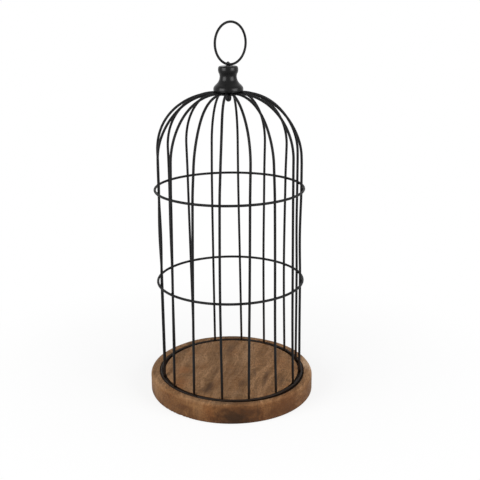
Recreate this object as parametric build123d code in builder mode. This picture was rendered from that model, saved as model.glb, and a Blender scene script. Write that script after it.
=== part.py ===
from build123d import *
import os
from math import cos, radians, sin, sqrt

# A decorative bird cage of round steel wire that stands in a groove of a round wooden board.
# Millimetres, +Z up. The origin is the centre of the board's underside.
# The cage is a welded unit that lifts off the board, with a turned finial clamped on its crown
# by an eye bolt, and a loose carrying ring through the eye.

# ---- wire ----------------------------------------------------------------------------------
wire_diameter = 3.0
weld_set = 0.1              # how far two wires are pressed into each other where they are welded
crown_set = 0.05            # the same, where a wire lies against a flat plate

# ---- board ---------------------------------------------------------------------------------
board_diameter = 203.0
board_thickness = 25.4
board_top_round = 5.0
board_bottom_round = 3.0
groove_depth = 3.0
groove_outer_gap = 0.6      # from the base hoop to the groove's outer wall
groove_inner_gap = 0.6      # from the bars to the groove's inner wall
groove_edge_round = 0.5
seat_gap = 0.25             # from the groove's floor to the cage that stands in it

# ---- cage ----------------------------------------------------------------------------------
hoop_radius = 88.2          # to the middle of the wire, the same for all three hoops
lower_hoop_rise = 118.5     # from the board's top to the middle of the wire
upper_hoop_rise = 232.3
crown_rise = 343.9          # from the board's top to the middle of the bars' level runs
bar_level_run = 6.6         # straight length of a bar between its bend and the hub's boss
bar_count = 16
first_bar_angle = -98.0
bar_side_gap = 0.02         # between neighbouring bars at their inner ends

# ---- crown ---------------------------------------------------------------------------------
hub_plate_thickness = 1.5
hub_plate_setback = 3.2     # how far the hub's plate stays inside the finial's foot
washer_thickness = 1.0
washer_lap = 2.5            # how far the washer reaches under the bars' ends

# ---- finial --------------------------------------------------------------------------------
finial_height = 27.3
foot_radius = 17.2
foot_edge_height = 3.0
foot_chamfer = 0.8
foot_draft = 0.35           # how far the foot's edge leans in
shoulder_radius = 14.4
shoulder_height = 5.9
hollow_radius = 10.25       # where the shoulder runs into the neck
hollow_height = 11.5
neck_radius = 9.5
neck_height = 15.4
throat_radius = 10.15       # where the neck runs into the knob
throat_height = 19.0
knob_radius = 11.3
knob_height = 22.4
knob_top_radius = 8.6
foot_direction = (-0.35, 1)     # of the profile where it leaves the foot's edge
rim_direction = (-1, 0.05)      # of the profile where it reaches the knob's flat top

# ---- eye bolt and nut ----------------------------------------------------------------------
rod_diameter = 4.0
rod_clearance = 0.1         # all round, in the finial, the hub and the washer
thread_clearance = 0.02     # all round, in the nut
eye_wire_diameter = 1.4
eye_clearance = 0.3         # all round the ring's wire
eye_seat_clearance = 0.3
nut_across_flats = 7.0
nut_hex_height = 4.2
nut_dome_setback = 0.15     # how far the dome stays inside the hexagon's flats
nut_thread_depth = 6.0

# ---- carrying ring -------------------------------------------------------------------------
ring_radius = 23.5          # to the middle of the wire
ring_wire_diameter = 2.8
ring_lift = 0.65            # from the finial's top to the ring's wire in the eye
ring_angle = 41.9           # direction of the ring's plane, from +X towards +Y
ring_slip = 4.0             # how far the loose ring stands off the axis, along its own plane

# ---- worked out from the above -------------------------------------------------------------
wire_radius = wire_diameter / 2
bar_circle_radius = hoop_radius - wire_diameter + weld_set
board_top = board_thickness
groove_floor = board_top - groove_depth
groove_outer_radius = hoop_radius + wire_radius + groove_outer_gap
groove_inner_radius = bar_circle_radius - wire_radius - groove_inner_gap
cage_bottom = groove_floor + seat_gap
base_hoop_height = cage_bottom + wire_radius
lower_hoop_height = board_top + lower_hoop_rise
upper_hoop_height = board_top + upper_hoop_rise
crown_height = board_top + crown_rise
bar_spacing = 360 / bar_count
boss_radius = (wire_radius + bar_side_gap / 2) / sin(radians(bar_spacing / 2))
bend_radius = bar_circle_radius - boss_radius - bar_level_run

washer_top = crown_height - wire_radius + crown_set
washer_bottom = washer_top - washer_thickness
plate_bottom = crown_height + wire_radius - crown_set
plate_top = plate_bottom + hub_plate_thickness
finial_top = plate_top + finial_height

rod_radius = rod_diameter / 2
bore_radius = rod_radius + rod_clearance
ring_wire_radius = ring_wire_diameter / 2
eye_wire_radius = eye_wire_diameter / 2
eye_hole_radius = ring_wire_radius + eye_clearance
eye_radius = eye_hole_radius + eye_wire_radius
eye_outer_radius = eye_hole_radius + eye_wire_diameter
ring_pivot_height = finial_top + ring_lift + ring_wire_radius
eye_seat_radius = eye_outer_radius + eye_seat_clearance
eye_seat_floor = ring_pivot_height - eye_outer_radius - eye_seat_clearance

ring_direction = Vector(cos(radians(ring_angle)), sin(radians(ring_angle)), 0)
ring_normal = Vector(-sin(radians(ring_angle)), cos(radians(ring_angle)), 0)
ring_pivot = Vector(0, 0, ring_pivot_height)
ring_rise = sqrt(ring_radius**2 - ring_slip**2)
ring_centre = ring_pivot + ring_direction * ring_slip + Vector(0, 0, ring_rise)


def save(builder, name):
    """Label one finished piece and write it to its own file."""
    builder.part.label = name
    export_step(builder.part, f"parts/{name}.step")


def bar_plane(angle):
    """The upright plane through the axis that holds one bar: x outwards, y upwards."""
    outwards = Vector(cos(radians(angle)), sin(radians(angle)), 0)
    sideways = Vector(sin(radians(angle)), -cos(radians(angle)), 0)
    return Plane(origin=(0, 0, 0), x_dir=outwards, z_dir=sideways)


os.makedirs("parts", exist_ok=True)

# ---- board: a turned disc with eased edges and one routed groove -----------------------------
with BuildPart() as base_board:
    with BuildSketch(Plane.XY):
        Circle(board_diameter / 2)
    extrude(amount=board_thickness)
    fillet(base_board.edges().sort_by(Axis.Z)[-1], board_top_round)
    fillet(base_board.edges().sort_by(Axis.Z)[0], board_bottom_round)
    with BuildSketch(Plane.XY.offset(board_top)):
        Circle(groove_outer_radius)
        Circle(groove_inner_radius, mode=Mode.SUBTRACT)
    extrude(amount=-groove_depth, mode=Mode.SUBTRACT)
    top_edges = base_board.edges().filter_by(GeomType.CIRCLE).group_by(Axis.Z)[-1]
    groove_edges = top_edges.sort_by(SortBy.RADIUS)[0:2]
    fillet(groove_edges, groove_edge_round)
save(base_board, "base_board")

# ---- bars: a straight leg, one bend and a level run to the hub's boss ------------------------
for index in range(bar_count):
    plane = bar_plane(first_bar_angle + index * bar_spacing)
    foot = plane.from_local_coords(Vector(bar_circle_radius, cage_bottom, 0))
    with BuildPart() as bar:
        with BuildLine(plane) as bar_path:
            FilletPolyline(
                (bar_circle_radius, cage_bottom),
                (bar_circle_radius, crown_height),
                (boss_radius, crown_height),
                radius=bend_radius,
            )
        with BuildSketch(Plane(origin=foot, z_dir=(0, 0, 1))):
            Circle(wire_radius)
        sweep(path=bar_path.line)
    save(bar, f"bar_{index + 1:02d}")

# ---- hoops: three rings of the same wire, welded round the outside of the bars ---------------
hoop_heights = {
    "upper_hoop": upper_hoop_height,
    "lower_hoop": lower_hoop_height,
    "base_hoop": base_hoop_height,
}
for name, height in hoop_heights.items():
    with BuildPart() as hoop:
        with Locations((0, 0, height)):
            Torus(hoop_radius, wire_radius)
    save(hoop, name)

# ---- crown hub: a plate over the bars' ends, with a boss that the ends butt against ----------
with BuildPart() as crown_hub:
    with BuildSketch(Plane.XY.offset(plate_bottom)):
        Circle(foot_radius - hub_plate_setback)
    extrude(amount=hub_plate_thickness)
    with BuildSketch(Plane.XY.offset(washer_top)):
        Circle(boss_radius)
    extrude(amount=plate_bottom - washer_top)
    with BuildSketch(Plane.XY.offset(washer_top)):
        Circle(bore_radius)
    extrude(amount=plate_top - washer_top, mode=Mode.SUBTRACT)
save(crown_hub, "crown_hub")

# ---- crown washer: under the bars' ends ------------------------------------------------------
with BuildPart() as crown_washer:
    with BuildSketch(Plane.XY.offset(washer_bottom)):
        Circle(boss_radius + washer_lap)
        Circle(bore_radius, mode=Mode.SUBTRACT)
    extrude(amount=washer_thickness)
save(crown_washer, "crown_washer")

# ---- finial: turned, with a spreading foot, a waist and a rounded knob -----------------------
with BuildPart() as finial:
    with BuildSketch(Plane.XZ):
        with BuildLine():
            foot_inner = (0, plate_top)
            foot_outer = (foot_radius - foot_chamfer, plate_top)
            edge_low = (foot_radius, plate_top + foot_chamfer)
            edge_high = (foot_radius - foot_draft, plate_top + foot_edge_height)
            knob_rim = (knob_top_radius, finial_top)
            Line(foot_inner, foot_outer)
            Line(foot_outer, edge_low)
            Line(edge_low, edge_high)
            Spline(
                edge_high,
                (shoulder_radius, plate_top + shoulder_height),
                (hollow_radius, plate_top + hollow_height),
                (neck_radius, plate_top + neck_height),
                (throat_radius, plate_top + throat_height),
                (knob_radius, plate_top + knob_height),
                knob_rim,
                tangents=(foot_direction, rim_direction),
            )
            Line(knob_rim, (0, finial_top))
            Line((0, finial_top), foot_inner)
        make_face()
    revolve(axis=Axis.Z)
    with BuildSketch(Plane.XY.offset(plate_top)):
        Circle(bore_radius)
    extrude(amount=finial_height, mode=Mode.SUBTRACT)
    with BuildSketch(Plane.XY.offset(eye_seat_floor)):
        Circle(eye_seat_radius)
    extrude(amount=finial_top - eye_seat_floor, mode=Mode.SUBTRACT)
save(finial, "finial")

# ---- eye bolt: an eye on a rod that runs down through finial, hub and washer to the nut ------
rod_bottom = washer_bottom - nut_thread_depth
rod_top = ring_pivot_height - eye_radius
with BuildPart() as eye_bolt:
    with BuildSketch(Plane.XY.offset(rod_bottom)):
        Circle(rod_radius)
    extrude(amount=rod_top - rod_bottom)
    with Locations(Plane(origin=ring_pivot, x_dir=ring_normal, z_dir=ring_direction)):
        Torus(eye_radius, eye_wire_radius)
save(eye_bolt, "eye_bolt")

# ---- cap nut: a hexagon with a domed end, upside down under the washer -----------------------
nut_hex_bottom = washer_bottom - nut_hex_height
nut_dome_radius = nut_across_flats / 2 - nut_dome_setback
with BuildPart() as cap_nut:
    with BuildSketch(Plane.XY.offset(nut_hex_bottom)):
        RegularPolygon(nut_across_flats / 2, 6, major_radius=False)
    extrude(amount=nut_hex_height)
    with BuildSketch(Plane.XZ):
        with BuildLine():
            dome_centre = (0, nut_hex_bottom)
            dome = CenterArc(dome_centre, nut_dome_radius, start_angle=270, arc_size=90)
            Line(dome @ 1, dome_centre)
            Line(dome_centre, dome @ 0)
        make_face()
    revolve(axis=Axis.Z)
    with BuildSketch(Plane.XY.offset(washer_bottom)):
        Circle(rod_radius + thread_clearance)
    extrude(amount=-nut_thread_depth, mode=Mode.SUBTRACT)
save(cap_nut, "cap_nut")

# ---- carrying ring: upright through the eye, free to swing about its wire --------------------
with BuildPart() as top_ring:
    with Locations(Plane(origin=ring_centre, x_dir=ring_direction, z_dir=ring_normal)):
        Torus(ring_radius, ring_wire_radius)
save(top_ring, "top_ring")
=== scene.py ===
from math import cos, pi, radians, sin, sqrt

import bpy
import numpy as np
from mathutils import Euler, Matrix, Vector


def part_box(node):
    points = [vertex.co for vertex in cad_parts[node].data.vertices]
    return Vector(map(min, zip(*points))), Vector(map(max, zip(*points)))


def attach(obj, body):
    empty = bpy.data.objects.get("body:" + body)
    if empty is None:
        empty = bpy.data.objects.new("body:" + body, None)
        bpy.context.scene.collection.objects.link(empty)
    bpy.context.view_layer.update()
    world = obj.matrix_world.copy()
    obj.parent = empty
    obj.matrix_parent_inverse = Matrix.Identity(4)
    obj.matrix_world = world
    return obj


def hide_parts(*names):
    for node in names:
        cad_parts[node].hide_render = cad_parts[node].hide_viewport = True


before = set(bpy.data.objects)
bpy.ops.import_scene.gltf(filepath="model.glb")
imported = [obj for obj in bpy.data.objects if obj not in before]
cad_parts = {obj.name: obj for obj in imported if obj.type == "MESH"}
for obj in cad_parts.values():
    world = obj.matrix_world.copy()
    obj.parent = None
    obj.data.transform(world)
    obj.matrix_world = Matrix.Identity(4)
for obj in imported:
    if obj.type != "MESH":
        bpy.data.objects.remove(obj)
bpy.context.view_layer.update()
mm = 0.001


# ---- base board -----------------------------------------------------------------------------
# A round board of oiled mango wood, glued up from two planks, turned, routed with one groove for
# the cage, and sanded by hand: its outside is a little uneven, and its lower edge is chipped.

board_low, board_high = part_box("base_board")
board_radius = (board_high.x - board_low.x + board_high.y - board_low.y) / 4
board_top = board_high.z
board_top_round = 5 * mm
board_bottom_round = 3 * mm
groove_inner_radius = 83.2 * mm
groove_outer_radius = 90.3 * mm
groove_depth = 3 * mm
groove_edge_round = 0.5 * mm
groove_corner_round = 0.4 * mm
middle_of_groove = (groove_inner_radius + groove_outer_radius) / 2
board_sides = 720
hair = 0.1 * mm

# How far the hand work strays, at its most: the routed groove and each of its walls, the oval of
# the outside, the waves in its lower edge, upper edge and top, and the chips with their height.
router_bulge = 3.0 * mm
inner_wall_bulge = 2.6 * mm
outer_wall_bulge = 2.4 * mm
outer_wall_second_bulge = 2.2 * mm
board_oval = 1.4 * mm
lower_edge_wave = 0.35 * mm
upper_edge_wave = 0.3 * mm
top_wave = 0.25 * mm
chip_depth = 0.7 * mm
chip_reach = 2.4 * mm


def skin(name, grids, along=False):
    """A mesh over one or more grids of points, whose rows run along the piece and whose columns
    run round it and close. Rows close too when along is true; otherwise a fan shuts each end.
    The faces are turned outwards: a negative enclosed volume reverses them all."""
    points = []
    faces = []
    volume = 0
    start = 0
    for grid in grids:
        count, sides = grid.shape[:2]
        index = start + np.arange(count * sides).reshape(count, sides)
        here = index if along else index[:-1]
        there = np.roll(index, -1, axis=0) if along else index[1:]
        quads = np.stack([here, np.roll(here, -1, axis=1), np.roll(there, -1, axis=1), there], axis=-1)
        flat = grid.reshape(-1, 3)
        new_faces = [quads.reshape(-1, 4)]
        if not along:
            first = start + count * sides
            flat = np.vstack([flat, grid[0].mean(axis=0), grid[-1].mean(axis=0)])
            near_hub = np.full(sides, first)
            far_hub = np.full(sides, first + 1)
            new_faces.append(np.stack([near_hub, np.roll(index[0], -1), index[0]], axis=-1))
            new_faces.append(np.stack([far_hub, index[-1], np.roll(index[-1], -1)], axis=-1))
        for block in new_faces:
            for corners in range(2, block.shape[1]):
                a, b, c = (flat[block[:, k] - start] for k in (0, corners - 1, corners))
                volume += np.einsum("ij,ij->", a, np.cross(b, c))
            faces.append(block)
        points.append(flat)
        start += len(flat)
    if volume < 0:
        faces = [block[:, ::-1] for block in faces]
    mesh = bpy.data.meshes.new(name)
    corners_of_faces = [face for block in faces for face in block.tolist()]
    mesh.from_pydata(np.vstack(points).tolist(), [], corners_of_faces)
    mesh.shade_smooth()
    piece = bpy.data.objects.new(name, mesh)
    bpy.context.scene.collection.objects.link(piece)
    return piece


def run(start, stop, count):
    """Points (distance from the axis, height) evenly along a straight run, without its last point."""
    return np.linspace(start, stop, count, endpoint=False)


def arc(centre, radius, start, stop, count):
    """Points of a circular arc about a centre in a profile, by angle in degrees from outwards
    towards up, without its last point."""
    turn = np.radians(np.linspace(start, stop, count, endpoint=False))
    return np.array(centre) + radius * np.stack([np.cos(turn), np.sin(turn)], axis=-1)


def waves(angle, harmonics, seed):
    """A smooth closed wave about 1 high: the sum of sines of whole harmonics with seeded phases."""
    phases = np.random.default_rng(seed).uniform(0, 2 * pi, len(harmonics))
    return sum(np.sin(k * angle + phase) for k, phase in zip(harmonics, phases)) / sqrt(len(harmonics))


def bump(value, middle, width):
    """A bell: 1 at the middle, falling to a third at one width away."""
    return np.exp(-(((value - middle) / width) ** 2))


def near(angle, middle, width):
    """A bell round the axis: 1 at the middle direction, in degrees, and a third at one width away."""
    return bump((angle - radians(middle) + pi) % (2 * pi) - pi, 0, radians(width))


def router_stray(angle):
    """How far the groove, and the hoop in it, stand out from their circle at an angle: they were
    led by hand, and bulge towards the front right by a bell."""
    return router_bulge * near(angle, -60, 42)


groove_floor = board_top - groove_depth
outer_lip = groove_outer_radius + groove_edge_round
inner_lip = groove_inner_radius - groove_edge_round
lip_height = board_top - groove_edge_round
corner_height = groove_floor + groove_corner_round
outer_corner = groove_outer_radius - groove_corner_round
inner_corner = groove_inner_radius + groove_corner_round
foot_round_radius = board_radius - board_bottom_round
top_round_radius = board_radius - board_top_round
top_round_height = board_top - board_top_round
middle_of_board = 2 * mm
still_top = 40 * mm
board_profile = np.vstack([
    run((middle_of_board, 0), (foot_round_radius, 0), 8),
    arc((foot_round_radius, board_bottom_round), board_bottom_round, -90, 0, 8),
    run((board_radius, board_bottom_round), (board_radius, top_round_height), 12),
    arc((top_round_radius, top_round_height), board_top_round, 0, 90, 10),
    run((top_round_radius, board_top), (outer_lip, board_top), 4),
    arc((outer_lip, lip_height), groove_edge_round, 90, 180, 4),
    run((groove_outer_radius, lip_height), (groove_outer_radius, corner_height), 3),
    arc((outer_corner, corner_height), groove_corner_round, 0, -90, 3),
    run((outer_corner, groove_floor), (inner_corner, groove_floor), 3),
    arc((inner_corner, corner_height), groove_corner_round, -90, -180, 3),
    run((groove_inner_radius, corner_height), (groove_inner_radius, lip_height), 3),
    arc((inner_lip, lip_height), groove_edge_round, 0, 90, 4),
    run((inner_lip, board_top), (middle_of_board, board_top), 22),
    [(middle_of_board, board_top)],
])


def turned_about_axis(radius, angle, height):
    """A grid of points, each at its radius from the axis, its angle round it and its height."""
    return np.stack(np.broadcast_arrays(radius * np.cos(angle), radius * np.sin(angle), height), axis=-1)


def turned_board(profile, sides):
    """The profile carried round the axis. The groove's walls follow the router's stray and their
    own bells, and the top between the groove and its still middle stretches with them. The outside
    is a little oval, two waves move it in and out, and near one place on the lower edge a fast
    wave, cut off below zero, takes chips out of it."""
    angle = np.linspace(0, 2 * pi, sides, endpoint=False)[None, :]
    start = profile[:, :1]
    height = profile[:, 1:]
    on_top = height > groove_floor - hair
    inner_share = np.clip((start - still_top) / (inner_lip - still_top), 0, 1) ** 3
    inner_share = inner_share * (start < middle_of_groove)
    outer_share = np.clip((board_radius - start) / (board_radius - outer_lip), 0, 1)
    outer_share = outer_share * (start > middle_of_groove)
    inner_stray = router_stray(angle) + inner_wall_bulge * near(angle, -70, 40)
    outer_stray = router_stray(angle) + outer_wall_bulge * near(angle, -72, 38)
    outer_stray = outer_stray + outer_wall_second_bulge * near(angle, -42, 28)
    radius = start + on_top * (inner_share * inner_stray + outer_share * outer_stray)
    outside = np.clip((start - outer_lip) / (board_radius - outer_lip), 0, 1)
    radius = radius + board_oval * outside * np.cos(2 * (angle + radians(45)))
    share = height / board_top
    upper_quarter = np.clip(share * 4 - 3, 0, 1)
    radius = radius - lower_edge_wave * outside * (1 + waves(angle, [2, 3, 5, 8], 1)) * (1 - share) / 2
    radius = radius - upper_edge_wave * outside * (1 + waves(angle, [2, 4, 7, 11], 2)) * share / 2
    height = height - top_wave * outside * (1 + waves(angle, [3, 5, 9], 3)) * upper_quarter
    chipped = near(angle, -131, 11)
    chips = np.clip(waves(angle, [61, 83, 127, 151], 4), 0, 2)
    chips = chips * chipped * outside * bump(height, 0, chip_reach)
    radius = radius - chip_depth * chips
    height = height + chip_depth * chips
    return turned_about_axis(radius, angle, height)


board = skin("board_of_two_planks", [turned_board(board_profile, board_sides)])

# How far each point of the board lies in the groove, and how far its surface faces along the
# grain, are kept with the mesh, where the wood's finish reads them.
grain_turn = radians(-14)
grain_along = np.array([-sin(grain_turn), cos(grain_turn), 0])
facing = np.empty(len(board.data.vertices) * 3, np.float32)
board.data.vertex_normals.foreach_get("vector", facing)
groove_half_width = (groove_outer_radius - groove_inner_radius) / 2 + hair
in_groove = np.abs(board_profile[:, 0] - middle_of_groove) < groove_half_width
depth = np.clip((board_top - board_profile[:, 1]) / groove_depth, 0, 1) * in_groove
sunk = np.append(np.repeat(depth, board_sides), [0, 0])
board.data.attributes.new("sunk", "FLOAT", "POINT").data.foreach_set("value", sunk.astype(np.float32))
end_grain = np.abs(facing.reshape(-1, 3) @ grain_along)
board.data.attributes.new("end_grain", "FLOAT", "POINT").data.foreach_set("value", end_grain)


def feed(tree, socket, value):
    """Links an output to an input, or sets the input's own value."""
    if isinstance(value, bpy.types.NodeSocket):
        tree.links.new(value, socket)
    else:
        socket.default_value = value


def add(tree, kind, **inputs):
    """One shader node. Each keyword is an input's name, with _ for a space: a value sets it, and
    another node's output is linked to it."""
    node = tree.nodes.new("ShaderNode" + kind)
    for name, value in inputs.items():
        feed(tree, node.inputs[name.replace("_", " ")], value)
    return node


def calc(tree, operation, *values):
    """A Math node's result."""
    node = add(tree, "Math")
    node.operation = operation
    for socket, value in zip(node.inputs, values):
        feed(tree, socket, value)
    return node.outputs[0]


def vector_calc(tree, operation, *values):
    """A Vector Math node's results: a vector, and the number that a length gives."""
    node = add(tree, "VectorMath")
    node.operation = operation
    for socket, value in zip(node.inputs, values):
        feed(tree, socket, value)
    return node.outputs


def ease(tree, value, low, high, start=0.0, stop=1.0):
    """A value carried smoothly from start to stop as it goes from low to high."""
    node = add(tree, "MapRange", Value=value)
    node.interpolation_type = "SMOOTHSTEP"
    for socket, number in zip(node.inputs[1:5], (low, high, start, stop)):
        feed(tree, socket, number)
    return node.outputs["Result"]


def tint(tree, amount, first, second, how="MIX"):
    """Two colours mixed by an amount. In a Mix node, inputs 6 and 7 and output 2 are colours."""
    node = add(tree, "Mix")
    node.data_type = "RGBA"
    node.blend_type = how
    feed(tree, node.inputs["Factor"], amount)
    feed(tree, node.inputs[6], first)
    feed(tree, node.inputs[7], second)
    return node.outputs[2]


def toned(tree, amount, colour, tone):
    """A colour that is multiplied by a tone, by an amount."""
    return tint(tree, amount, colour, tint(tree, 1.0, colour, tone, "MULTIPLY"))


def kept_value(tree, name):
    """A number that is kept with the mesh's points under a name."""
    node = add(tree, "Attribute")
    node.attribute_name = name
    return node.outputs["Fac"]


def new_group(name, inputs, outputs):
    """An empty shader node group with the named inputs and outputs, and its two end nodes."""
    group = bpy.data.node_groups.new(name, "ShaderNodeTree")
    for label, (kind, value) in inputs.items():
        socket = group.interface.new_socket(label, in_out="INPUT", socket_type="NodeSocket" + kind)
        if value is not None:
            socket.default_value = value
    for label, kind in outputs.items():
        group.interface.new_socket(label, in_out="OUTPUT", socket_type="NodeSocket" + kind)
    return group, group.nodes.new("NodeGroupInput"), group.nodes.new("NodeGroupOutput")


def use(tree, group, **inputs):
    """One shader node that stands for a group, with its inputs set or linked by name."""
    node = add(tree, "Group")
    node.node_tree = group
    for name, value in inputs.items():
        feed(tree, node.inputs[name.replace("_", " ")], value)
    return node


def place_in_mm(tree):
    """The place on the object, in millimetres."""
    place = add(tree, "TexCoord").outputs["Object"]
    return add(tree, "Mapping", Vector=place, Scale=(1000, 1000, 1000)).outputs[0]


def new_material(name, **inputs):
    """A material with one Principled shader, whose inputs are set by name."""
    material = bpy.data.materials.new(name)
    material.use_nodes = True
    shader = material.node_tree.nodes["Principled BSDF"]
    for label, value in inputs.items():
        shader.inputs[label.replace("_", " ")].default_value = value
    return material, material.node_tree, shader


# Noise whose lumps have their own size in each direction, in millimetres: fibres, pores and
# blotches in the wood, and the skin of the black coat, are all this with other sizes.
lumps, given, result = new_group(
    "lumps",
    {"Vector": ("Vector", None), "Size": ("Vector", (1, 1, 1)), "Detail": ("Float", 2.0)},
    {"Value": "Float"},
)
in_lumps = vector_calc(lumps, "DIVIDE", given.outputs["Vector"], given.outputs["Size"])[0]
cloudy = add(lumps, "TexNoise", Vector=in_lumps, Detail=given.outputs["Detail"], Scale=1.0)
feed(lumps, result.inputs["Value"], cloudy.outputs["Fac"])

# A soft dark smear in the wood's figure: 1 in its middle and 0 outside an ellipsoid, with an
# edge made ragged by noise.
smear, given, result = new_group(
    "smear",
    {"Vector": ("Vector", None), "Centre": ("Vector", (0, 0, 0)), "Half size": ("Vector", (1, 1, 1)),
     "Turn": ("Float", 0.0), "Ragged": ("Float", 0.0)},
    {"Value": "Float"},
)
from_centre = vector_calc(smear, "SUBTRACT", given.outputs["Vector"], given.outputs["Centre"])[0]
turned = add(smear, "VectorRotate", Vector=from_centre, Angle=given.outputs["Turn"]).outputs[0]
in_half_sizes = vector_calc(smear, "DIVIDE", turned, given.outputs["Half size"])[0]
away = vector_calc(smear, "LENGTH", in_half_sizes)["Value"]
raggedness = 1.3
farther = calc(smear, "MULTIPLY_ADD", given.outputs["Ragged"], raggedness, away)
feed(smear, result.inputs["Value"], ease(smear, farther, 0.1, 1.2, 1.0, 0.0))

wood, tree, shader = new_material("oiled_mango_wood", Specular_IOR_Level=0.16)
in_mm = place_in_mm(tree)
straight = add(tree, "Mapping", Vector=in_mm, Rotation=(0, 0, -grain_turn)).outputs[0]
flat_place = add(tree, "SeparateXYZ", Vector=in_mm)

# The grain sways from side to side along the plank, by so many millimetres, which gives the wood
# its curl.
sway_width = 5.0
slow_sway_width = 30.0
sway = use(tree, lumps, Vector=straight, Size=(22, 10, 22), Detail=2.0).outputs[0]
slow_sway = use(tree, lumps, Vector=straight, Size=(60, 55, 60), Detail=1.0).outputs[0]
split = add(tree, "SeparateXYZ", Vector=straight)
swayed = calc(tree, "MULTIPLY_ADD", sway, sway_width, split.outputs["X"])
swayed = calc(tree, "MULTIPLY_ADD", slow_sway, slow_sway_width, swayed)
grain = add(tree, "CombineXYZ", X=swayed, Y=split.outputs["Y"], Z=split.outputs["Z"]).outputs[0]

bands = use(tree, lumps, Vector=grain, Size=(9, 120, 24), Detail=4.0).outputs[0]
blotches = use(tree, lumps, Vector=grain, Size=(22, 36, 20), Detail=3.0).outputs[0]
fibres = use(tree, lumps, Vector=grain, Size=(1.3, 22, 1.6), Detail=3.0).outputs[0]
flecks = use(tree, lumps, Vector=grain, Size=(1.5, 4.5, 1.5), Detail=2.0).outputs[0]
curl = use(tree, lumps, Vector=straight, Size=(11, 3.4, 11), Detail=2.0).outputs[0]
pores = use(tree, lumps, Vector=grain, Size=(0.6, 4.6, 0.65), Detail=1.0).outputs[0]
ragged = use(tree, lumps, Vector=grain, Size=(5, 18, 6), Detail=4.0).outputs[0]
ragged = calc(tree, "SUBTRACT", ragged, 0.5)

# Light and dark bands, and over them each noise with its low and high edge, the strength that it
# reaches and its shade.
dark_band = (0.15, 0.074, 0.029, 1)
light_band = (0.325, 0.178, 0.086, 1)
colour = tint(tree, ease(tree, bands, 0.34, 0.66), dark_band, light_band)
for noise, low, high, most, shade in (
    (blotches, 0.45, 0.68, 0.6, (0.215, 0.09, 0.029, 1)),
    (fibres, 0.32, 0.68, 0.5, (0.112, 0.055, 0.022, 1)),
    (curl, 0.4, 0.68, 0.3, (0.33, 0.19, 0.09, 1)),
    (flecks, 0.5, 0.66, 0.45, (0.085, 0.042, 0.018, 1)),
):
    colour = tint(tree, ease(tree, noise, low, high, 0, most), colour, shade)

# The figure that is this board's own: smears on its top, and patches round its side, a few of
# which are painted shade or painted light, marked below. Each has its centre and half sizes in
# millimetres, its turn in degrees, its strength and its shade.
dark_heart = (0.06, 0.027, 0.01, 1)
olive = (0.042, 0.02, 0.006, 1)
umber = (0.105, 0.043, 0.014, 1)
straw = (0.35, 0.21, 0.115, 1)
pale = (0.44, 0.3, 0.19, 1)
rust = (0.28, 0.11, 0.036, 1)
painted_sheen_grey = (0.097, 0.069, 0.048, 1)
figure = (
    ((-27, -54, 25), (6, 27, 30), -9, 0.95, dark_heart),
    ((-20, -14, 25), (5, 22, 30), -9, 0.45, dark_heart),
    ((-2, 54, 25), (7, 24, 30), -10, 0.6, dark_heart),
    ((42, -34, 25), (4.5, 26, 30), -13, 0.85, dark_heart),
    ((29, -17, 25), (2.5, 15, 30), 3, 0.5, dark_heart),
    ((12, -47, 25), (5, 12, 30), -20, 0.55, dark_heart),
    ((61, -44, 25), (3.5, 18, 30), -14, 0.65, dark_heart),
    ((6, -20, 25), (22, 36, 30), -12, 0.22, umber),
    # Painted shade: the back rim behind the groove is darkened.
    ((8, 96, 25), (62, 8, 20), 0, 0.6, olive),
    # Painted highlight: a pale patch on the right rim.
    ((98, 8, 25), (11, 25, 13), 0, 0.95, pale),
    ((-60, -8, 25), (10, 14, 30), -12, 0.5, rust),
    ((-62, -42, 25), (12, 20, 30), -12, 0.4, rust),
    ((20, 32, 25), (10, 30, 30), -14, 0.3, straw),
    ((-46, 22, 25), (15, 26, 30), -12, 0.25, straw),
    ((3, -70, 25), (16, 12, 30), 0, 0.2, straw),
    ((-48, -87, 26), (22, 9, 2.6), -29, 0.2, straw),
    ((-46, -90, 19), (20, 7, 4), -27, 0.5, straw),
    # Painted sheen: the front lip is made greyer, as if the white surround were seen in it.
    ((-2, -96, 26), (34, 7, 4), 0, 0.45, painted_sheen_grey),
    ((-58, -82, 14), (14, 9, 5), -36, 0.45, umber),
    ((-37, -94, 13), (10, 8, 12), -21, 0.3, pale),
    ((-27, -98, 15), (11, 8, 8), -15, 0.2, rust),
    ((11, -101, 11), (44, 16, 24), 4, 0.9, umber),
    ((3, -101, 9), (28, 10, 16), 2, 0.95, olive),
    ((31, -97, 13), (2.5, 7, 13), 18, 0.5, olive),
    ((40, -93, 14), (3, 7, 10), 23, 0.2, straw),
    ((64, -79, 13), (38, 16, 28), 39, 0.85, umber),
    ((90, -48, 14), (18, 16, 24), 62, 0.55, umber),
    ((-78, -64, 14), (14, 9, 12), -51, 0.4, umber),
    # Painted light: the far left side is made paler, as if lit more from the left.
    ((-95, -38, 16), (24, 9, 14), -68, 0.5, straw),
)
for centre, half_size, turn, strength, shade in figure:
    patch = use(
        tree, smear, Vector=in_mm, Centre=centre, Half_size=half_size, Turn=radians(-turn), Ragged=ragged
    ).outputs[0]
    colour = tint(tree, calc(tree, "MULTIPLY", patch, strength), colour, shade)

# The two planks differ a little, and their glue line is a thin dark seam, 30 mm to the right of
# the middle.
seam_place = 30.0
right_plank = ease(tree, flat_place.outputs["X"], seam_place - 0.2, seam_place + 0.2)
colour = toned(tree, right_plank, colour, (1.08, 1.06, 1.04, 1))
from_seam = calc(tree, "ABSOLUTE", calc(tree, "SUBTRACT", flat_place.outputs["X"], seam_place))
seam = ease(tree, from_seam, 0.1, 0.45, 0.4, 0.0)
glue_brown = (0.04, 0.022, 0.012, 1)
colour = tint(tree, seam, colour, glue_brown)
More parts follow.
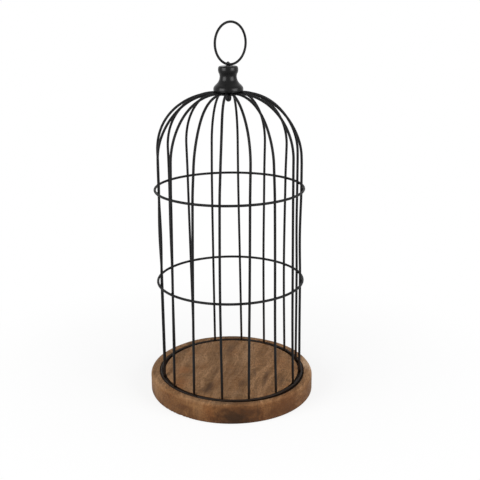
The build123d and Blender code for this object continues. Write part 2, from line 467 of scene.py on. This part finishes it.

# End grain drinks more oil and stays darker. The side is darker than the top, which is painted
# shade, and has opened up in dark dashes at the front left. It darkens towards the floor, which
# is painted shade too. Fine pores lie over it all.
end_amount = ease(tree, kept_value(tree, "end_grain"), 0.25, 1.0, 0.0, 1.0)
colour = toned(tree, end_amount, colour, (0.82, 0.73, 0.6, 1))
on_side = ease(tree, flat_place.outputs["Z"], 21.0, 24.2, 1.0, 0.0)
# Painted shade: the whole side is made darker than the top.
colour = toned(tree, on_side, colour, (0.74, 0.68, 0.575, 1))
dashes = use(tree, lumps, Vector=in_mm, Size=(1.9, 1.9, 5), Detail=2.0).outputs[0]
opened = use(
    tree, smear, Vector=in_mm, Centre=(-60, -80, 13), Half_size=(34, 14, 26), Turn=radians(37), Ragged=ragged
).outputs[0]
opened = calc(tree, "MULTIPLY", on_side, opened)
dark_dashes = calc(tree, "MULTIPLY", opened, ease(tree, dashes, 0.5, 0.68, 0, 0.75))
dash_brown = (0.085, 0.036, 0.013, 1)
colour = tint(tree, dark_dashes, colour, dash_brown)
low_side = ease(tree, flat_place.outputs["Z"], 0.0, 22.0, 1.0, 0.0)
# Painted shade: the side is made darker towards the floor.
colour = toned(tree, low_side, colour, (0.74, 0.72, 0.7, 1))
pore_amount = ease(tree, pores, 0.57, 0.67, 0.0, 0.65)
pore_brown = (0.04, 0.02, 0.01, 1)
colour = tint(tree, pore_amount, colour, pore_brown)

# The groove is painted almost black inside: painted shade in the recess.
groove_shade_amount = ease(tree, kept_value(tree, "sunk"), 0.02, 0.35, 0.0, 0.97)
groove_painted_shade = (0.014, 0.0065, 0.003, 1)
colour = tint(tree, groove_shade_amount, colour, groove_painted_shade)
feed(tree, shader.inputs["Base Color"], colour)

# The fibres stand up a little and are duller, and the pores and the seam lie below them, by so
# many heights of a fibre.
fibre_height = 0.12 * mm
pore_depth = 1.6
seam_depth = 3.0
feed(tree, shader.inputs["Roughness"], ease(tree, fibres, 0.3, 0.7, 0.6, 0.78))
relief = calc(tree, "SUBTRACT", fibres, calc(tree, "MULTIPLY", pore_amount, pore_depth))
relief = calc(tree, "SUBTRACT", relief, calc(tree, "MULTIPLY", seam, seam_depth))
wood_bump = add(tree, "Bump", Height=relief, Strength=0.6, Distance=fibre_height)
feed(tree, shader.inputs["Normal"], wood_bump.outputs["Normal"])

board.data.materials.append(wood)
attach(board, "board")
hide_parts("base_board")


# ---- bars -----------------------------------------------------------------------------------
# Sixteen steel wires, each bent by hand round a former: a straight leg, one bend and a level run
# to the crown. They stand a little unevenly. Their feet are cut and eased before the black coat.

def middle_height(name):
    """The height of a level hoop: half way between the bottom and the top of its wire."""
    low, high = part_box(name)
    return (low.z + high.z) / 2


hoop_low, hoop_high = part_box("upper_hoop")
wire_radius = (hoop_high.z - hoop_low.z) / 2
upper_hoop_height = middle_height("upper_hoop")
lower_hoop_height = middle_height("lower_hoop")
hoop_radius = 88.2 * mm
weld_set = 0.1 * mm
bar_circle = hoop_radius - 2 * wire_radius + weld_set
bar_foot, bar_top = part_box("bar_01")
crown_height = bar_top.z - wire_radius
boss_radius = 7.74 * mm
bend_radius = 71 * mm
bar_count = 16
first_bar = radians(-98)
leg_rows = 60
bend_rows = 40
level_rows = 8
shoulder_start = 285 * mm
dome_height = 340 * mm
stray_heights = np.array([bar_foot.z, lower_hoop_height, upper_hoop_height, dome_height, crown_height])


def wire(path, aside, radius, closed=False, sides=20):
    """A round wire along a path: at each point a circle across the path, drawn from the direction
    aside made square to the path, and from the direction square to both. A closed path runs on
    from its last point to its first."""
    if closed:
        forward = np.roll(path, -1, axis=0) - np.roll(path, 1, axis=0)
    else:
        forward = np.gradient(path, axis=0)
    forward = forward / np.linalg.norm(forward, axis=1, keepdims=True)
    aside = aside - np.sum(aside * forward, axis=1, keepdims=True) * forward
    aside = aside / np.linalg.norm(aside, axis=1, keepdims=True)
    over = np.cross(forward, aside)
    turn = np.linspace(0, 2 * pi, sides, endpoint=False)[None, :, None]
    circle = np.cos(turn) * aside[:, None] + np.sin(turn) * over[:, None]
    return path[:, None] + np.broadcast_to(radius, len(path))[:, None, None] * circle


def strayed(up, heights, strays):
    """A smooth curve of strays through heights: between two of them a cubic, whose slope at each
    is the slope of the strays there."""
    slopes = np.gradient(strays, heights)
    below = np.clip(np.searchsorted(heights, up) - 1, 0, len(heights) - 2)
    span = heights[below + 1] - heights[below]
    t = (up - heights[below]) / span
    curve = (2 * t**3 - 3 * t**2 + 1) * strays[below] + (3 * t**2 - 2 * t**3) * strays[below + 1]
    return curve + span * ((t**3 - 2 * t**2 + t) * slopes[below] + (t**3 - t**2) * slopes[below + 1])


def bar_path(angle, at_foot, at_lower_hoop, at_upper_hoop, in_dome, shoulder, bow):
    """The middle line of one bar: up the leg, round a quarter circle and in to the boss. It goes
    sideways by the smooth curve through its strays, and out at its shoulder by a cubic that
    starts from nothing below the bend and ends at nothing on the crown. Between the upper two
    hoops it bows by a smooth hump, and below them, where the base hoop bulges, it goes out to its
    foot by the square of the way down. The cubic alone would reach 4/27 and the hump 1/16, so
    27/4 and 16 bring them to the full stray."""
    leg = np.linspace(bar_foot.z, crown_height - bend_radius, leg_rows)
    turn = np.radians(np.linspace(0, 90, bend_rows)[1:])
    level = np.linspace(bar_circle - bend_radius, boss_radius, level_rows)[1:]
    bend_out = bar_circle - bend_radius * (1 - np.cos(turn))
    bend_up = crown_height - bend_radius * (1 - np.sin(turn))
    out = np.concatenate([np.full(leg_rows, bar_circle), bend_out, level])
    up = np.concatenate([leg, bend_up, np.full(level_rows - 1, crown_height)])
    strays = np.array([at_foot, at_lower_hoop, at_upper_hoop, in_dome, 0.0]) * mm
    sideways = strayed(up, stray_heights, strays)
    share = np.clip((up - shoulder_start) / (crown_height - shoulder_start), 0, 1)
    out = out + 27 / 4 * shoulder * mm * share**2 * (1 - share)
    between = np.clip((up - lower_hoop_height) / (upper_hoop_height - lower_hoop_height), 0, 1)
    out = out + 16 * bow * mm * between**2 * (1 - between) ** 2
    below = np.clip((lower_hoop_height - up) / (lower_hoop_height - bar_foot.z), 0, 1)
    out = out + router_stray(angle) * below**2
    outwards = np.array([cos(angle), sin(angle), 0])
    across_bar = np.array([-sin(angle), cos(angle), 0])
    path = out[:, None] * outwards + sideways[:, None] * across_bar + up[:, None] * np.array([0, 0, 1])
    return path, across_bar[None, :]


def eased_ends(rows_from_end, share):
    """What a wire keeps of its radius near a cut end: it loses a share of it at the end itself,
    and less from row to row, by an exponential."""
    fall = 1.5
    return 1 - share * np.exp(-rows_from_end * fall)


# The black powder coat: satin, with a fine orange peel, a few dust nibs and a duller bloom here
# and there. Near the board its colour is tinted brown, a painted reflection of the wood. It gives
# a roughness, a normal and two masks; each black finish keeps its own shader.
powder_coat, given, result = new_group(
    "powder_coat",
    {"Peel size": ("Float", 1.0), "Peel depth": ("Float", 0.02),
     "Smooth": ("Float", 0.3), "Dull": ("Float", 0.45)},
    {"Roughness": "Float", "Normal": "Vector", "Bloom": "Float", "Painted_reflection": "Float"},
)
coat_mm = place_in_mm(powder_coat)
peel_size = add(powder_coat, "CombineXYZ")
for socket in peel_size.inputs:
    feed(powder_coat, socket, given.outputs["Peel size"])
peel = use(powder_coat, lumps, Vector=coat_mm, Size=peel_size.outputs[0], Detail=1.5).outputs[0]
bloom = use(powder_coat, lumps, Vector=coat_mm, Size=(9, 9, 14), Detail=3.0).outputs[0]
nibs = use(powder_coat, lumps, Vector=coat_mm, Size=(1.3, 1.3, 1.3), Detail=0.0).outputs[0]
nib_height = ease(powder_coat, nibs, 0.74, 0.82)
bloom_amount = ease(powder_coat, bloom, 0.4, 0.65)
dullness = calc(powder_coat, "SUBTRACT", given.outputs["Dull"], given.outputs["Smooth"])
roughness = calc(powder_coat, "MULTIPLY_ADD", dullness, bloom_amount, given.outputs["Smooth"])
nib_share = 0.8
coat_relief = calc(powder_coat, "MULTIPLY_ADD", nib_height, nib_share, peel)
coat_depth = calc(powder_coat, "MULTIPLY", given.outputs["Peel depth"], mm)
coat_bump = add(powder_coat, "Bump", Height=coat_relief, Distance=coat_depth, Strength=1.0)
feed(powder_coat, result.inputs["Roughness"], roughness)
feed(powder_coat, result.inputs["Normal"], coat_bump.outputs["Normal"])
feed(powder_coat, result.inputs["Bloom"], bloom_amount)
coat_height = add(powder_coat, "SeparateXYZ", Vector=coat_mm).outputs["Z"]
# Painted reflection: from the board's top up to 60 mm the black is tinted brown, as if it reflected the
# wood.
feed(powder_coat, result.inputs["Painted_reflection"], ease(powder_coat, coat_height, 24.0, 60.0, 1.0, 0.0))
painted_wood_reflection = (1.9, 0.95, 0.45, 1)


def black_finish(name, shine, darker, lighter, **coat):
    """A black material: the coat's group with its own values, feeding one shader."""
    material, tree, shader = new_material(name, Specular_IOR_Level=shine)
    skin_of_coat = use(tree, powder_coat, **coat)
    feed(tree, shader.inputs["Roughness"], skin_of_coat.outputs["Roughness"])
    feed(tree, shader.inputs["Normal"], skin_of_coat.outputs["Normal"])
    colour = tint(tree, skin_of_coat.outputs["Bloom"], darker, lighter)
    # Near the board the colour is tinted brown: painted reflection of the wood.
    colour = toned(tree, skin_of_coat.outputs["Painted_reflection"], colour, painted_wood_reflection)
    feed(tree, shader.inputs["Base Color"], colour)
    return material


black_wire = black_finish(
    "satin_black_wire", 0.1, (0.004, 0.004, 0.0042, 1), (0.007, 0.007, 0.0073, 1),
    Peel_size=0.9, Peel_depth=0.004, Smooth=0.42, Dull=0.55,
)

# How far each bar strays from its even place, in millimetres, from the first bar round by the
# right: sideways at its foot, at the lower and upper hoops and in the dome, then out at its
# shoulder and between the hoops.
bar_strays = (
    (1.0, 0.0, 1.0, 2.5, 0.0, 0.0),
    (-2.0, 0.0, 1.0, 1.5, 0.0, 0.0),
    (-0.5, -0.5, -1.5, -3.0, 0.0, 0.0),
    (-0.5, -1.0, -2.5, -2.0, 0.5, 0.0),
    (1.5, 0.0, -1.0, -1.0, -2.5, -1.0),
    (-2.0, -1.5, 0.5, 0.0, -2.0, -0.5),
    (-4.0, -1.5, -3.0, -4.0, 0.0, 0.0),
    (-1.5, -0.5, -1.5, -2.0, 0.0, 0.0),
    (-2.5, -1.0, 0.5, 0.5, 0.0, 0.0),
    (0.5, 1.0, 1.0, 0.0, 0.0, 0.0),
    (-1.5, 0.0, 1.5, 2.0, 0.5, 0.0),
    (1.5, 1.5, 1.5, 1.5, 1.0, 0.5),
    (1.0, 1.0, 1.0, 0.5, 1.5, 1.2),
    (0.0, 1.0, 3.0, 2.0, -1.5, -1.0),
    (-1.0, 1.5, 4.0, 4.5, 0.0, 0.0),
    (-1.0, 0.5, 3.0, 5.0, 0.0, 0.0),
)
bar_end_loss = 0.3
bar_paths = []
for number, strays in enumerate(bar_strays):
    path, aside = bar_path(first_bar + number * 2 * pi / bar_count, *strays)
    bar_paths.append(path)
    kept_radius = wire_radius * eased_ends(np.arange(len(path)), bar_end_loss)
    bar = skin(f"wire_bar_{number + 1:02d}", [wire(path, aside, kept_radius)])
    bar.data.materials.append(black_wire)
    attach(bar, "cage")
    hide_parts(f"bar_{number + 1:02d}")


# ---- hoops ----------------------------------------------------------------------------------
# Three hoops of the same wire, rolled and welded outside the bars. The upper two have a ground
# butt weld. The ends of the base hoop only meet in the groove, and one stands a little proud.

def hoop_path(height, turn, stray=0.0, lift=0.0):
    """Points of a circle about the axis at a height and at some angles, with their own stray
    outwards and lift."""
    radius = hoop_radius + stray
    return np.stack([radius * np.cos(turn), radius * np.sin(turn), height + lift + 0 * turn], axis=-1)


upright = np.array([[0.0, 0.0, 1.0]])
hoop_rows = 360
weld_swelling = 0.09
for name, seam_angle in (("upper_hoop", radians(72)), ("lower_hoop", radians(118))):
    turn = np.linspace(0, 2 * pi, hoop_rows, endpoint=False)
    around = hoop_path(middle_height(name), turn)
    swelling = wire_radius * (1 + weld_swelling * bump(turn, seam_angle, radians(1.2)))
    hoop = skin("wire_" + name, [wire(around, upright, swelling, closed=True)], along=True)
    hoop.data.materials.append(black_wire)
    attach(hoop, "cage")
    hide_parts(name)

# The base hoop stands a little proud of the groove at the front, and lies a little low elsewhere.
# Its first end has sprung outwards.
base_rows = 400
base_seam = radians(-117)
seam_gap = radians(0.25)
front_lift = 0.75 * mm
base_drop = 0.12 * mm
end_spring = 0.7 * mm
hoop_end_loss = 0.25
turn = np.linspace(base_seam, base_seam + 2 * pi - seam_gap, base_rows)
proud = front_lift * bump(turn, radians(-85), radians(48)) - base_drop
sprung = end_spring * np.exp((base_seam - turn) / radians(25))
base_path = hoop_path(middle_height("base_hoop"), turn, router_stray(turn) + sprung, proud)
rows_from_end = np.minimum(np.arange(base_rows), np.arange(base_rows)[::-1])
kept_radius = wire_radius * eased_ends(rows_from_end, hoop_end_loss)
base_hoop = skin("wire_base_hoop", [wire(base_path, upright, kept_radius)])
base_hoop.data.materials.append(black_wire)
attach(base_hoop, "cage")
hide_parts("base_hoop")


# ---- welds ----------------------------------------------------------------------------------
# Where a bar crosses a hoop the two wires are spot welded: a small flat bead of steel swells out
# between them, smoothed over by the coat.

bead_half_size = np.array([0.8, 1.7, 1.6]) * mm
bead_lumps = 0.12


def bead(centre, outwards, seed):
    """A flattened ball at a place: its poles point outwards, and two waves make it lumpy."""
    across_bead = np.cross([0, 0, 1], outwards)
    polar = np.linspace(0, pi, 9)[1:-1, None]
    turn = np.linspace(0, 2 * pi, 12, endpoint=False)[None, :]
    lumpy = 1 + bead_lumps * waves(turn, [2, 3], seed) * np.sin(polar)
    ball = (np.cos(polar), np.sin(polar) * np.cos(turn), np.sin(polar) * np.sin(turn))
    local = lumpy[..., None] * np.stack(np.broadcast_arrays(*ball), axis=-1)
    axes = np.array([outwards, across_bead, [0, 0, 1]]) * bead_half_size[:, None]
    return centre + local @ axes


for name in ("upper_hoop", "lower_hoop", "base_hoop"):
    height = middle_height(name)
    beads = []
    for number, path in enumerate(bar_paths):
        leg = path[:leg_rows]
        crossing = np.array([np.interp(height, leg[:, 2], leg[:, side]) for side in (0, 1)])
        outwards = np.append(crossing / np.linalg.norm(crossing), 0)
        centre = (np.linalg.norm(crossing) + wire_radius) * outwards + np.array([0, 0, height])
        beads.append(bead(centre, outwards, number))
    welds = skin("welds_of_" + name, beads)
    welds.data.materials.append(black_wire)
    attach(welds, "cage")


# ---- crown ----------------------------------------------------------------------------------
# The bars' ends lie between a small steel plate with a boss and a washer, welded to both. The
# domed nut below draws the finial, plate, bars and washer together.

black_fittings = black_finish(
    "satin_black_fittings", 0.09, (0.003, 0.003, 0.0031, 1), (0.006, 0.006, 0.0063, 1),
    Peel_size=0.7, Peel_depth=0.003, Smooth=0.3, Dull=0.42,
)
for name in ("crown_hub", "crown_washer", "eye_bolt"):
    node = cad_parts[name]
    for material_slot in node.material_slots:
        material_slot.material = black_fittings

nut_low, nut_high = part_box("cap_nut")
nut_flat = 3.5 * mm
nut_dome = 3.35 * mm
nut_corner = nut_flat * 1.12
nut_face = nut_flat * 0.99
nut_cone_slope = 1.2
nut_hex_low = nut_low.z + nut_dome
nut_hex_high = nut_high.z
hex_rows = 14
dome_rows = 12


def nut_rows(sides=96):
    """The nut from its washer face down: at each height the smaller of a hexagon with rounded
    corners and a cone that takes its corners off, and then a ball for the domed end."""
    turn = np.linspace(0, 2 * pi, sides, endpoint=False)
    sector = (turn + pi / 6) % (pi / 3) - pi / 6
    hexagon = np.minimum(nut_flat / np.cos(sector), nut_corner)
    height = np.linspace(nut_hex_high, nut_hex_low, hex_rows)[:, None]
    from_ends = np.minimum(nut_hex_high - height, height - nut_hex_low)
    cone = nut_face + from_ends * nut_cone_slope
    sides_out = np.minimum(hexagon[None, :], cone)
    drop = np.radians(np.linspace(4, 86, dome_rows))[:, None]
    dome_out = np.broadcast_to(nut_dome * np.cos(drop), (dome_rows, sides))
    radius = np.vstack([sides_out, dome_out])
    level = np.vstack([height, nut_hex_low - nut_dome * np.sin(drop)])
    return turned_about_axis(radius, turn, level)


nut = skin("domed_nut", [nut_rows()])
nut.data.materials.append(black_fittings)
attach(nut, "cage")
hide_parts("cap_nut")


# ---- finial ---------------------------------------------------------------------------------
# Turned in one piece: a spreading foot over the bars' ends, a waist and a rounded knob with a
# small seat for the eye. It is bored for the eye bolt and painted satin black.

finial_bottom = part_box("finial")[0].z
finial_underside = np.array([(2.1, 0.0), (9.0, 0.0), (16.5, 0.0)]) * mm
finial_outline = np.array([
    (17.0, 0.0), (17.3, 0.4), (17.1, 3.0), (16.3, 4.6), (15.0, 6.1), (12.65, 8.4), (10.7, 11.5),
    (9.85, 15.4), (10.2, 18.2), (11.2, 20.5), (11.6, 22.7), (11.45, 25.2), (10.95, 26.6),
    (10.0, 27.3), (8.6, 27.5),
]) * mm
finial_seat = np.array([(3.9, 27.3), (3.5, 27.0), (3.5, 26.1), (3.3, 25.9), (2.1, 25.9)]) * mm


def curve_through(points, steps):
    """A smooth curve through points: between two of them a cubic whose slope at each is half the
    way from the point before to the point after."""
    before = np.vstack([points[:1], points[:-2]])
    after = np.vstack([points[2:], points[-1:]])
    slope_start = (points[1:] - before) / 2
    slope_stop = (after - points[:-1]) / 2
    t = np.linspace(0, 1, steps, endpoint=False)[None, :, None]
    start = points[:-1, None]
    stop = points[1:, None]
    curve = (2 * t**3 - 3 * t**2 + 1) * start + (t**3 - 2 * t**2 + t) * slope_start[:, None]
    curve = curve + (3 * t**2 - 2 * t**3) * stop + (t**3 - t**2) * slope_stop[:, None]
    return np.vstack([curve.reshape(-1, 2), points[-1:]])


# The profile is carried round the axis, and closes on itself through the bore.
finial_profile = np.vstack([finial_underside, curve_through(finial_outline, 6), finial_seat])
finial_profile[:, 1] += finial_bottom
turn = np.linspace(0, 2 * pi, 128, endpoint=False)[None, :]
finial_grid = turned_about_axis(finial_profile[:, :1], turn, finial_profile[:, 1:])
knob = skin("turned_finial", [finial_grid], along=True)
black_finial = black_finish(
    "satin_black_finial", 0.19, (0.0005, 0.0005, 0.0005, 1), (0.001, 0.001, 0.001, 1),
    Peel_size=1.1, Peel_depth=0.0007, Smooth=0.26, Dull=0.3,
)
knob.data.materials.append(black_finial)
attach(knob, "cage")
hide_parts("finial")


# ---- carrying ring --------------------------------------------------------------------------
# A plain ring of thinner wire, closed through the eye and butt welded. It hangs loose: here it
# stands upright in the eye, a little to one side.

ring_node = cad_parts["top_ring"]
for material_slot in ring_node.material_slots:
    material_slot.material = black_wire


# ---- floor, light and camera ----------------------------------------------------------------
# The object stands on a plain white floor between two large soft boxes, one on each side of the
# camera, with an even white surround.

floor_mesh = bpy.data.meshes.new("floor")
floor_reach = 6.0
floor_drop = 0.2 * mm
floor_corners = [(-floor_reach, -floor_reach, 0), (floor_reach, -floor_reach, 0)]
floor_corners += [(floor_reach, floor_reach, 0), (-floor_reach, floor_reach, 0)]
floor_mesh.from_pydata(floor_corners, [], [(0, 1, 2, 3)])
floor = bpy.data.objects.new("floor", floor_mesh)
bpy.context.scene.collection.objects.link(floor)
floor.location.z = -floor_drop
white = (0.9, 0.9, 0.9, 1)
floor_paint, tree, shader = new_material(
    "white_floor", Base_Color=white, Roughness=0.9, Specular_IOR_Level=0.0
)


def seen_white(tree):
    """1 for the rays of the camera, of gloss and of glass, which see a plain white surround, and 0
    for the light that falls on the object."""
    rays = add(tree, "LightPath")
    seen = calc(tree, "MAXIMUM", rays.outputs["Is Camera Ray"], rays.outputs["Is Glossy Ray"])
    return calc(tree, "MAXIMUM", seen, rays.outputs["Is Transmission Ray"])


# Those rays see the floor glow white. Within 0.1 m of the axis it only glows to 0.82 and the rest
# stays paint, which keeps the object's shadow; from 0.45 m on all of it glows.
seen = seen_white(tree)
floor_place = add(tree, "TexCoord").outputs["Object"]
from_object = vector_calc(tree, "LENGTH", floor_place)["Value"]
whiteness = ease(tree, from_object, 0.1, 0.45, 0.82, 1.0)
glow = add(tree, "Emission", Color=(1, 1, 1, 1), Strength=1.0)
mixed = add(tree, "MixShader")
feed(tree, mixed.inputs[0], calc(tree, "MULTIPLY", seen, whiteness))
feed(tree, mixed.inputs[1], shader.outputs[0])
feed(tree, mixed.inputs[2], glow.outputs[0])
feed(tree, tree.nodes["Material Output"].inputs["Surface"], mixed.outputs[0])
floor_mesh.materials.append(floor_paint)

world = bpy.data.worlds.new("studio")
bpy.context.scene.world = world
world.use_nodes = True
tree = world.node_tree
seen = seen_white(tree)
surround = tree.nodes["Background"]
surround.inputs["Color"].default_value = (1, 1, 1, 1)
soft_fill = 0.28
feed(tree, surround.inputs["Strength"], ease(tree, seen, 0.0, 1.0, soft_fill, 1.0))

object_middle = np.array([0, 0, 0.2])


def soft_box(name, azimuth, elevation, distance, width, height, power):
    """An area lamp on a sphere about the object, turned to face it. Azimuth 0 is the front."""
    turn = radians(azimuth)
    rise = radians(elevation)
    lamp = bpy.data.lights.new(name, "AREA")
    lamp.shape = "RECTANGLE"
    lamp.size = width
    lamp.size_y = height
    lamp.energy = power
    holder = bpy.data.objects.new(name, lamp)
    bpy.context.scene.collection.objects.link(holder)
    direction = np.array([sin(turn) * cos(rise), -cos(turn) * cos(rise), sin(rise)])
    holder.location = object_middle + distance * direction
    holder.rotation_euler = Euler((pi / 2 - rise, 0, turn))


soft_box("left_box", azimuth=-52, elevation=18, distance=1.5, width=1.05, height=1.0, power=23.5)
soft_box("right_box", azimuth=52, elevation=18, distance=1.5, width=1.05, height=1.0, power=22.5)

camera = bpy.data.cameras.new("camera")
camera.lens = 60.92
camera.sensor_width = 36
camera_holder = bpy.data.objects.new("camera", camera)
bpy.context.scene.collection.objects.link(camera_holder)
look_down = radians(16.597)
look_right = radians(0.738)
roll = radians(-0.414)
camera_place = (0, -0.9417, 0.4737)
aim = Euler((pi / 2 - look_down, 0, -look_right)).to_matrix().to_4x4() @ Matrix.Rotation(roll, 4, "Z")
camera_holder.matrix_world = Matrix.Translation(camera_place) @ aim
bpy.context.scene.camera = camera_holder
bpy.context.scene.view_settings.view_transform = "Standard"
